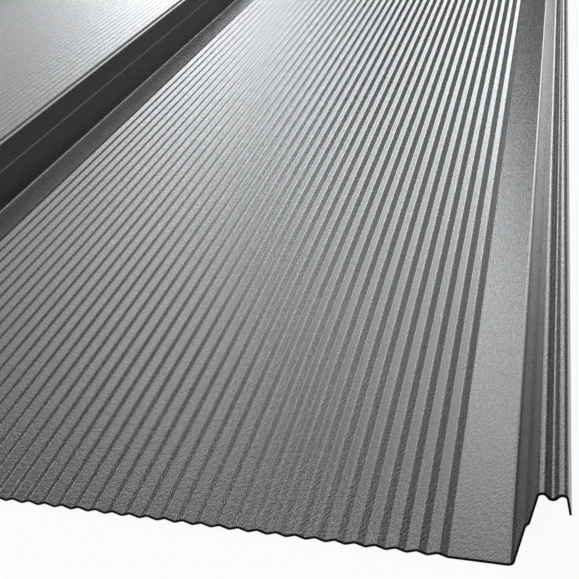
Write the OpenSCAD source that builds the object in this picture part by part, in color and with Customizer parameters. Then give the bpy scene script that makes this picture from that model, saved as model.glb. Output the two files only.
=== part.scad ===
// Roofing sheet rolled from one steel strip: wide pans of fine waves between tall stepped ribs

/* [Sheet] */
// Length of the sheet, along its ribs
sheet_length = 2000; // [500:10:6000]
// Thickness of the coated steel
thickness = 1; // [0.4:0.05:1.5]
// Number of pans, each between two ribs
pan_count = 2; // [1:1:4]

/* [Ribs] */
// Spacing of the ribs, from centre to centre
rib_spacing = 500; // [200:5:700]
// Height of a rib above its pan
rib_height = 48; // [35:0.1:70]
// Width of a rib at its foot, where flank and pan would meet without a bend
foot_width = 31.2; // [26:0.1:60]
// Bend radius between pan and flank
foot_radius = 3; // [1:0.1:6]
// Height of the small step in a flank, above the pan
step_height = 28; // [15:0.1:32]
// How far the step sets the flank in
step_inset = 1.2; // [0.5:0.1:3]
// Bend radius of the step
step_radius = 3; // [1:0.1:6]

/* [Crown] */
// Distance between the two ridges of a crown
ridge_spacing = 8.4; // [6:0.1:14]
// Bend radius of a ridge
ridge_radius = 2.1; // [1:0.1:4]
// Depth of the groove between the ridges
groove_depth = 3; // [1:0.1:5]
// Bend radius of the groove
groove_radius = 1.8; // [1:0.1:4]
// How far the side edge is turned down below the ridges
lip_drop = 10.9; // [4:0.1:20]

/* [Waves] */
// Spacing of the waves in a pan
wave_pitch = 10; // [6:0.1:20]
// Height of a wave
wave_height = 1.75; // [0.5:0.05:4]
// Bend radius of a wave
wave_radius = 2; // [1:0.1:6]
// Narrowest flat strip between a rib and the waves
least_flat = 25; // [10:1:60]

/* [Hidden] */

// Turn of one facet of a bend, in degrees
facet_turn = 12;
// Distance between the outermost ribs, which is the width that the sheet covers
cover_width = pan_count * rib_spacing;
// Half the distance between the ridges of a crown
ridge_x = ridge_spacing / 2;

// The two bends of a wavy line share the room that its pitch and depth leave them
function bend_room(half_pitch, depth) = (half_pitch ^ 2 + depth ^ 2) / (4 * depth);
wave_bend = min(wave_radius, bend_room(wave_pitch / 2, wave_height));
ridge_bend = min(ridge_radius, bend_room(ridge_x, groove_depth));
groove_bend = min(groove_radius, bend_room(ridge_x, groove_depth));

// Waves that fit in a pan
wave_count = floor((rib_spacing - foot_width - 2 * least_flat) / wave_pitch);

// Lean of the flanks from upright, so that they run from the foot to the ridge
ridge_z = rib_height - ridge_bend;
flank_run = foot_width / 2 - step_inset - ridge_x;
lean = acos(ridge_bend / norm([flank_run, ridge_z])) - atan2(ridge_z, flank_run);

// A bend is the centre of its circle and its radius to the middle of the steel, as [x, z, radius].
// The radius is positive where the strip turns upwards, negative where it turns down, and zero at an end.
foot_bend = [-foot_width / 2 - foot_radius * tan((90 - lean) / 2), foot_radius, foot_radius];
ridge = [-ridge_x, ridge_z, -ridge_bend];
groove = [0, rib_height - groove_depth + groove_bend, groove_bend];

// The step's two bends touch halfway up it, and lie on either side of the flank
step_width = step_inset * cos(lean);
step_along = sqrt(4 * step_radius * step_width - step_width ^ 2) / 2 * [sin(lean), cos(lean)];
step_aside = (step_radius - step_width / 2) * [-cos(lean), sin(lean)];
step_middle = [-(foot_width - step_inset) / 2 + step_height * tan(lean), step_height];
lower_step = [each (step_middle - step_along - step_aside), -step_radius];
upper_step = [each (step_middle + step_along + step_aside), step_radius];

// The side edge hangs from the outer ridge at the lean of the flanks
lip_end = [ridge_x + ridge_bend / cos(lean) + (lip_drop - ridge_bend) * tan(lean), rib_height - lip_drop, 0];

rising_side = [foot_bend, lower_step, upper_step, ridge];
inner_rib = concat(rising_side, [groove], mirrored(rising_side));
edge_rib = concat(rising_side, [groove], mirrored([ridge]), [lip_end]);

// A run of bends seen from the other side, and one moved sideways
function mirrored(bends) = [for (i = [len(bends) - 1 : -1 : 0]) [-bends[i].x, bends[i].y, bends[i].z]];
function moved(bends, x) = [for (b = bends) [b.x + x, b.y, b.z]];

// The bends of one pan's waves, with the valleys at the level of the flat strips
function waves() = [for (i = [0 : 2 * wave_count]) let (
    crest = i % 2 == 1,
    x = (i - wave_count) * wave_pitch / 2)
    crest ? [x, wave_height - wave_bend, -wave_bend] : [x, wave_bend, wave_bend]];

// All bends of the strip, from its left edge to its right one
strip_bends = concat(
    moved(mirrored(edge_rib), -cover_width / 2),
    [for (i = [1 : pan_count]) each concat(
        moved(waves(), (i - 0.5) * rib_spacing - cover_width / 2),
        i < pan_count ? moved(inner_rib, i * rib_spacing - cover_width / 2) : [])],
    moved(edge_rib, cover_width / 2));

// Direction in which the strip runs straight from one bend to the next
function heading(a, b) = let (run = [b.x - a.x, b.y - a.y])
    atan2(run.y, run.x) - asin(max(-1, min(1, (b.z - a.z) / norm(run))));

// One skin of the strip, offset from the middle of the steel, as points along its bends
function skin(bends, offset) = let (
    last = len(bends) - 1,
    runs = [for (i = [0 : last - 1]) heading(bends[i], bends[i + 1])])
    [for (i = [0 : last]) let (
        from = runs[max(0, i - 1)],
        to = runs[min(last - 1, i)],
        facets = max(1, ceil(abs(to - from) / facet_turn)))
        for (j = [0 : i == 0 || i == last ? 0 : facets]) let (turn = from + (to - from) * j / facets)
            [bends[i].x, bends[i].y] - (bends[i].z - offset) * [-sin(turn), cos(turn)]];

function reversed(points) = [for (i = [len(points) - 1 : -1 : 0]) points[i]];

module profile() {
    polygon(concat(skin(strip_bends, thickness / 2), reversed(skin(strip_bends, -thickness / 2))));
}

// The strip, rolled to the profile and cut to length, with the underside of its pans at the bottom
module sheet() {
    color("#3a4044")
        translate([0, sheet_length / 2, thickness / 2])
            rotate([90, 0, 0])
                linear_extrude(sheet_length) profile();
}

sheet();
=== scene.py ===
"""Looks of a ribbed and finely corrugated roofing sheet: its coat, cut edges, light and camera."""

import math

import bmesh
import bpy
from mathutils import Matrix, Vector


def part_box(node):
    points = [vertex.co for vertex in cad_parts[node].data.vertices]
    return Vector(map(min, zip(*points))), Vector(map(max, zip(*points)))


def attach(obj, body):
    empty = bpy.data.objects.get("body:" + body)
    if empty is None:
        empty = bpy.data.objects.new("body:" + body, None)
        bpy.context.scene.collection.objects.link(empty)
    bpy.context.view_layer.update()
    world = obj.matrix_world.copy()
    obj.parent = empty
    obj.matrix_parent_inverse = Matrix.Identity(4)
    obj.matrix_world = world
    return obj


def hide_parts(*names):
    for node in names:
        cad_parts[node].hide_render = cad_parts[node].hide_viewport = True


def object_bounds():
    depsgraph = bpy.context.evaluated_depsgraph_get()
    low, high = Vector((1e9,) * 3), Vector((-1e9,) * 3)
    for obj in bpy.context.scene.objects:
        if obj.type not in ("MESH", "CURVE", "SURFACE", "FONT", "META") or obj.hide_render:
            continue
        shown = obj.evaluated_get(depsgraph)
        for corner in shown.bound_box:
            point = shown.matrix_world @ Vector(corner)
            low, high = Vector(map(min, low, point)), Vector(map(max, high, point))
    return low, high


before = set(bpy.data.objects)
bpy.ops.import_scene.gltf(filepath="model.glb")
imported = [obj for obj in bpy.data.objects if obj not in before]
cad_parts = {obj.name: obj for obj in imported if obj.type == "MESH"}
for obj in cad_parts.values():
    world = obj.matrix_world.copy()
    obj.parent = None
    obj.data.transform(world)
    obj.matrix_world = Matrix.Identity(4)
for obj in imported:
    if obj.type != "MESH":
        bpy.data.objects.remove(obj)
cad_low, cad_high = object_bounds()

MILLIMETRE = 0.001

# Camera: lens, place, turn and the range of distances that it sees
LENS_MM = 54.03
SENSOR_MM = 36.0
CAMERA_PLACE = (0.4897, -1.2794, 0.3328)
CAMERA_TURN_DEG = (57.70, 6.41, 14.85)
NEAREST_SEEN = 0.01
FARTHEST_SEEN = 100.0

# Sheet: corners that are closer than this are one corner, and bends flatter than this are shaded round
WELD = 0.01 * MILLIMETRE
SHARP_DEG = 40.0
# A face whose normal has more than this share along the ribs is at an end of the sheet
END_SHARE = 0.5
# The end of the turned-down lip lies within this distance of the sheet's side
LIP_REACH = 3 * MILLIMETRE
# A band this wide along both ends takes the cut edge's near-black painted shade
PAINTED_SHADE_BAND = 0.8 * MILLIMETRE
# Large faces set the shading of the bends beside them as far as this weight goes
FLATS_WEIGHT = 100
# Finishes, in the order of the sheet's materials
COAT, BACKING, CUT = 0, 1, 2

# Most of a noise's values lie in this range
NOISE_RANGE = (0.3, 0.7)

# Coat: anthracite paint with a fine grain pressed into it
COAT_DEEP = (0.023, 0.027, 0.029, 1.0)
COAT_LIGHT = (0.037, 0.043, 0.046, 1.0)
COAT_IOR = 2.0
COAT_ROUGHNESS = (0.23, 0.29)
GRAIN_SIZE = 1.0 * MILLIMETRE
GRAIN_DEPTH = 0.23 * MILLIMETRE
GRAIN_DETAIL = 3.0
GRAIN_ROUGHNESS = 0.65
# The grain is drawn out this many times along a line at this angle to the sheet's width
GRAIN_STRETCH = 3.0
GRAIN_TURN_DEG = 60.0

# Backing coat: plain grey paint with faint clouds
BACKING_DARK = (0.150, 0.155, 0.155, 1.0)
BACKING_LIGHT = (0.190, 0.195, 0.195, 1.0)
BACKING_ROUGHNESS = (0.5, 0.6)
CLOUD_SIZE = 12 * MILLIMETRE
CLOUD_DETAIL = 4.0

# Cut edge: near-black painted shade with short streaks, on the cut faces and the bands along both ends
EDGE_PAINTED_SHADE_DARK = (0.002, 0.002, 0.002, 1.0)
EDGE_PAINTED_SHADE_LIGHT = (0.006, 0.006, 0.006, 1.0)
EDGE_ROUGHNESS = (0.70, 0.90)
EDGE_GLOSS = 0.1
STREAK_SIZE = 0.6 * MILLIMETRE

# Stage
LIGHT_DISTANCE = 6.0
LIGHT_COLOUR = (0.96, 0.98, 1.0)
WORLD_STRENGTH = 0.12
FLOOR_REACH = 40.0
FLOOR_GAP = 0.05 * MILLIMETRE
FLOOR_COLOUR = (0.90, 0.90, 0.90, 1.0)
FLOOR_ROUGHNESS = 0.9
FLOOR_GLOSS = 0.1
FLOOR_WHITENESS = 0.94


def link(obj):
    bpy.context.scene.collection.objects.link(obj)
    return obj


# Materials

def new_material(name):
    material = bpy.data.materials.new(name)
    material.use_nodes = True
    tree = material.node_tree
    return material, tree, tree.nodes["Principled BSDF"]


def add_node(tree, kind, **values):
    """A node of that kind, with its sockets set by name."""
    node = tree.nodes.new(kind)
    for socket, value in values.items():
        node.inputs[socket.replace("_", " ")].default_value = value
    return node


def noise(tree, place, size, detail=2.0, roughness=0.5):
    """Noise whose features are about size across, at the given place socket."""
    node = add_node(tree, "ShaderNodeTexNoise", Scale=1.0 / size, Detail=detail, Roughness=roughness)
    tree.links.new(place, node.inputs["Vector"])
    return node.outputs["Fac"]


def spread(tree, value, source, target):
    """The value, spread from its source range over the target range."""
    node = add_node(tree, "ShaderNodeMapRange",
                    From_Min=source[0], From_Max=source[1], To_Min=target[0], To_Max=target[1])
    tree.links.new(value, node.inputs["Value"])
    return node.outputs["Result"]


def tones(tree, value, dark, light):
    """A colour between dark and light, by the value of a noise."""
    ramp = tree.nodes.new("ShaderNodeValToRGB")
    for stop, position, colour in zip(ramp.color_ramp.elements, NOISE_RANGE, (dark, light)):
        stop.position = position
        stop.color = colour
    tree.links.new(value, ramp.inputs["Fac"])
    return ramp.outputs["Color"]


def object_place(tree):
    return tree.nodes.new("ShaderNodeTexCoord").outputs["Object"]


def along_grain(tree):
    """The object's places, drawn together along the run of the grain."""
    node = add_node(tree, "ShaderNodeMapping",
                    Rotation=(0.0, 0.0, math.radians(GRAIN_TURN_DEG)), Scale=(GRAIN_STRETCH, 1.0, 1.0))
    node.vector_type = "TEXTURE"
    tree.links.new(object_place(tree), node.inputs["Vector"])
    return node.outputs["Vector"]


def make_coat():
    """Anthracite coat with a fine wrinkled grain."""
    material, tree, shader = new_material("anthracite_coat")
    grain = noise(tree, along_grain(tree), GRAIN_SIZE, GRAIN_DETAIL, GRAIN_ROUGHNESS)
    bump = add_node(tree, "ShaderNodeBump", Strength=1.0, Distance=GRAIN_DEPTH)
    tree.links.new(grain, bump.inputs["Height"])
    tree.links.new(bump.outputs["Normal"], shader.inputs["Normal"])
    tree.links.new(tones(tree, grain, COAT_DEEP, COAT_LIGHT), shader.inputs["Base Color"])
    tree.links.new(spread(tree, grain, NOISE_RANGE, COAT_ROUGHNESS), shader.inputs["Roughness"])
    shader.inputs["IOR"].default_value = COAT_IOR
    return material


def make_backing():
    """Plain grey backing coat of the underside."""
    material, tree, shader = new_material("backing_coat")
    cloud = noise(tree, object_place(tree), CLOUD_SIZE, CLOUD_DETAIL)
    tree.links.new(tones(tree, cloud, BACKING_DARK, BACKING_LIGHT), shader.inputs["Base Color"])
    tree.links.new(spread(tree, cloud, NOISE_RANGE, BACKING_ROUGHNESS), shader.inputs["Roughness"])
    return material


def make_painted_shade_edge():
    """Near-black painted shade on the cut edges of the steel and the bands beside them."""
    material, tree, shader = new_material("cut_edge_painted_shade")
    streak = noise(tree, object_place(tree), STREAK_SIZE)
    tree.links.new(tones(tree, streak, EDGE_PAINTED_SHADE_DARK, EDGE_PAINTED_SHADE_LIGHT), shader.inputs["Base Color"])
    tree.links.new(spread(tree, streak, NOISE_RANGE, EDGE_ROUGHNESS), shader.inputs["Roughness"])
    shader.inputs["Specular IOR Level"].default_value = EDGE_GLOSS
    return material


# Sheet

def front_outline(node):
    """The closed outline of a rolled node's front end, as (x, z) points in order."""
    work = bmesh.new()
    work.from_mesh(node.data)
    bmesh.ops.remove_doubles(work, verts=work.verts, dist=WELD)
    front_y = min(corner.co.y for corner in work.verts)
    rim = [edge for edge in work.edges
           if all(abs(corner.co.y - front_y) < WELD for corner in edge.verts)
           and sorted(abs(face.normal.y) > END_SHARE for face in edge.link_faces) == [False, True]]
    beside = {}
    for edge in rim:
        one, other = edge.verts
        beside.setdefault(one, []).append(other)
        beside.setdefault(other, []).append(one)
    start = rim[0].verts[0]
    walk = [start, beside[start][0]]
    while True:
        ahead = [corner for corner in beside[walk[-1]] if corner is not walk[-2]][0]
        if ahead is start:
            break
        walk.append(ahead)
    points = [(corner.co.x, corner.co.z) for corner in walk]
    work.free()
    return points


def skins(outline):
    """The outline split at the two side edges, as the upper and the lower skin, each from left to right."""
    count = len(outline)
    half = count // 2
    leftmost = min(x for x, z in outline)
    lip = [i for i in range(count) if outline[i][0] < leftmost + LIP_REACH]
    low = min(lip, key=lambda i: outline[i][1])

    def gap(i, j):
        return math.dist(outline[i % count], outline[j % count])

    start = low if gap(low, low - 1) < gap(low, low + 1) else low + 1
    turned = [outline[(start + i) % count] for i in range(count)]
    first, second = turned[:half], turned[half:][::-1]
    return (first, second) if sum(z for x, z in first) > sum(z for x, z in second) else (second, first)


def make_sheet():
    """The rolled sheet as one closed skin, with its own finish above and below, and painted shade on its
    cut edges and the bands along its ends.
    """
    upper, lower = skins(front_outline(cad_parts["sheet"]))
    low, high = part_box("sheet")
    ring = upper + lower[::-1]
    count, half = len(ring), len(upper)
    sides = (half - 1, count - 1)
    stations = (low.y, low.y + PAINTED_SHADE_BAND, high.y - PAINTED_SHADE_BAND, high.y)
    spans = len(stations) - 1
    painted_shade_bands = (0, spans - 1)
    corners = [(x, y, z) for y in stations for x, z in ring]
    faces, finishes = [], []
    for span in range(spans):
        start = span * count
        for i in range(count):
            j = (i + 1) % count
            faces.append((start + i, start + j, start + count + j, start + count + i))
            # The bands along the ends and the cut faces of the sides take the painted shade
            if span in painted_shade_bands or i in sides:
                finishes.append(CUT)
            else:
                finishes.append(COAT if i < half else BACKING)
    # The end faces take the painted shade too
    for end in (0, spans * count):
        for i in range(half - 1):
            faces.append((end + i, end + i + 1, end + count - 2 - i, end + count - 1 - i))
            finishes.append(CUT)
    mesh = bpy.data.meshes.new("rolled_sheet")
    mesh.from_pydata(corners, [], faces)
    for material in (make_coat(), make_backing(), make_painted_shade_edge()):
        mesh.materials.append(material)
    mesh.polygons.foreach_set("material_index", finishes)
    work = bmesh.new()
    work.from_mesh(mesh)
    bmesh.ops.recalc_face_normals(work, faces=work.faces)
    work.to_mesh(mesh)
    work.free()
    mesh.shade_smooth()
    mesh.set_sharp_from_angle(angle=math.radians(SHARP_DEG))
    sheet = link(bpy.data.objects.new("rolled_sheet", mesh))
    steady = sheet.modifiers.new("steady_flats", "WEIGHTED_NORMAL")
    steady.mode = "FACE_AREA"
    steady.weight = FLATS_WEIGHT
    steady.keep_sharp = True
    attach(sheet, "root")
    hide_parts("sheet")


# Stage

def make_paper():
    """Pale paper that is white where it is looked at, and keeps a soft shadow."""
    material, tree, shader = new_material("pale_paper")
    shader.inputs["Base Color"].default_value = FLOOR_COLOUR
    shader.inputs["Roughness"].default_value = FLOOR_ROUGHNESS
    shader.inputs["Specular IOR Level"].default_value = FLOOR_GLOSS
    path = tree.nodes.new("ShaderNodeLightPath")
    seen = path.outputs["Is Camera Ray"]
    for way in ("Is Glossy Ray", "Is Transmission Ray"):
        either = tree.nodes.new("ShaderNodeMath")
        either.operation = "MAXIMUM"
        tree.links.new(seen, either.inputs[0])
        tree.links.new(path.outputs[way], either.inputs[1])
        seen = either.outputs["Value"]
    white = add_node(tree, "ShaderNodeEmission", Strength=1.0)
    blend = tree.nodes.new("ShaderNodeMixShader")
    tree.links.new(spread(tree, seen, (0.0, 1.0), (0.0, FLOOR_WHITENESS)), blend.inputs["Fac"])
    tree.links.new(shader.outputs["BSDF"], blend.inputs[1])
    tree.links.new(white.outputs["Emission"], blend.inputs[2])
    tree.links.new(blend.outputs["Shader"], tree.nodes["Material Output"].inputs["Surface"])
    return material


def make_floor():
    mesh = bpy.data.meshes.new("floor")
    reach = FLOOR_REACH
    corners = [(-reach, -reach, 0), (reach, -reach, 0), (reach, reach, 0), (-reach, reach, 0)]
    mesh.from_pydata(corners, [], [(0, 1, 2, 3)])
    mesh.materials.append(make_paper())
    floor = link(bpy.data.objects.new("floor", mesh))
    floor.location.z = cad_low.z - FLOOR_GAP


def make_world():
    world = bpy.data.worlds.new("studio")
    bpy.context.scene.world = world
    world.use_nodes = True
    shade = world.node_tree.nodes["Background"]
    shade.inputs["Color"].default_value = (*LIGHT_COLOUR, 1.0)
    shade.inputs["Strength"].default_value = WORLD_STRENGTH


def make_softbox(name, azimuth, elevation, size, power):
    """A soft light that faces the camera's foot; azimuth 0 is along the ribs, and 90 is to the right."""
    around, up = math.radians(azimuth), math.radians(elevation)
    light = bpy.data.lights.new(name, "AREA")
    light.shape = "RECTANGLE"
    light.size, light.size_y = size
    light.energy = power
    light.color = LIGHT_COLOUR
    lamp = link(bpy.data.objects.new(name, light))
    aim = Vector((math.sin(around) * math.cos(up), math.cos(around) * math.cos(up), math.sin(up)))
    lamp.location = Vector((CAMERA_PLACE[0], CAMERA_PLACE[1], 0.0)) + aim * LIGHT_DISTANCE
    lamp.rotation_mode = "QUATERNION"
    lamp.rotation_quaternion = aim.to_track_quat("Z", "Y")


def make_camera():
    data = bpy.data.cameras.new("camera")
    data.lens = LENS_MM
    data.sensor_width = SENSOR_MM
    data.clip_start = NEAREST_SEEN
    data.clip_end = FARTHEST_SEEN
    camera = link(bpy.data.objects.new("camera", data))
    camera.location = CAMERA_PLACE
    camera.rotation_euler = [math.radians(turn) for turn in CAMERA_TURN_DEG]
    bpy.context.scene.camera = camera


make_camera()
make_sheet()
make_floor()
make_world()
make_softbox("back_softbox", azimuth=-21.5, elevation=25, size=(3.5, 5.2), power=94)
make_softbox("low_softbox", azimuth=-18, elevation=8, size=(2.6, 0.9), power=10)
make_softbox("middle_softbox", azimuth=-12, elevation=20, size=(1.2, 1.4), power=32)
make_softbox("right_softbox", azimuth=7, elevation=41, size=(1.5, 2.0), power=34)
make_softbox("left_softbox", azimuth=-50, elevation=35, size=(0.9, 0.9), power=34)
make_softbox("side_softbox", azimuth=15.5, elevation=26, size=(1.8, 2.4), power=10)
make_softbox("top_softbox", azimuth=180, elevation=70, size=(4.0, 4.0), power=75)
bpy.context.scene.view_settings.view_transform = "Standard"
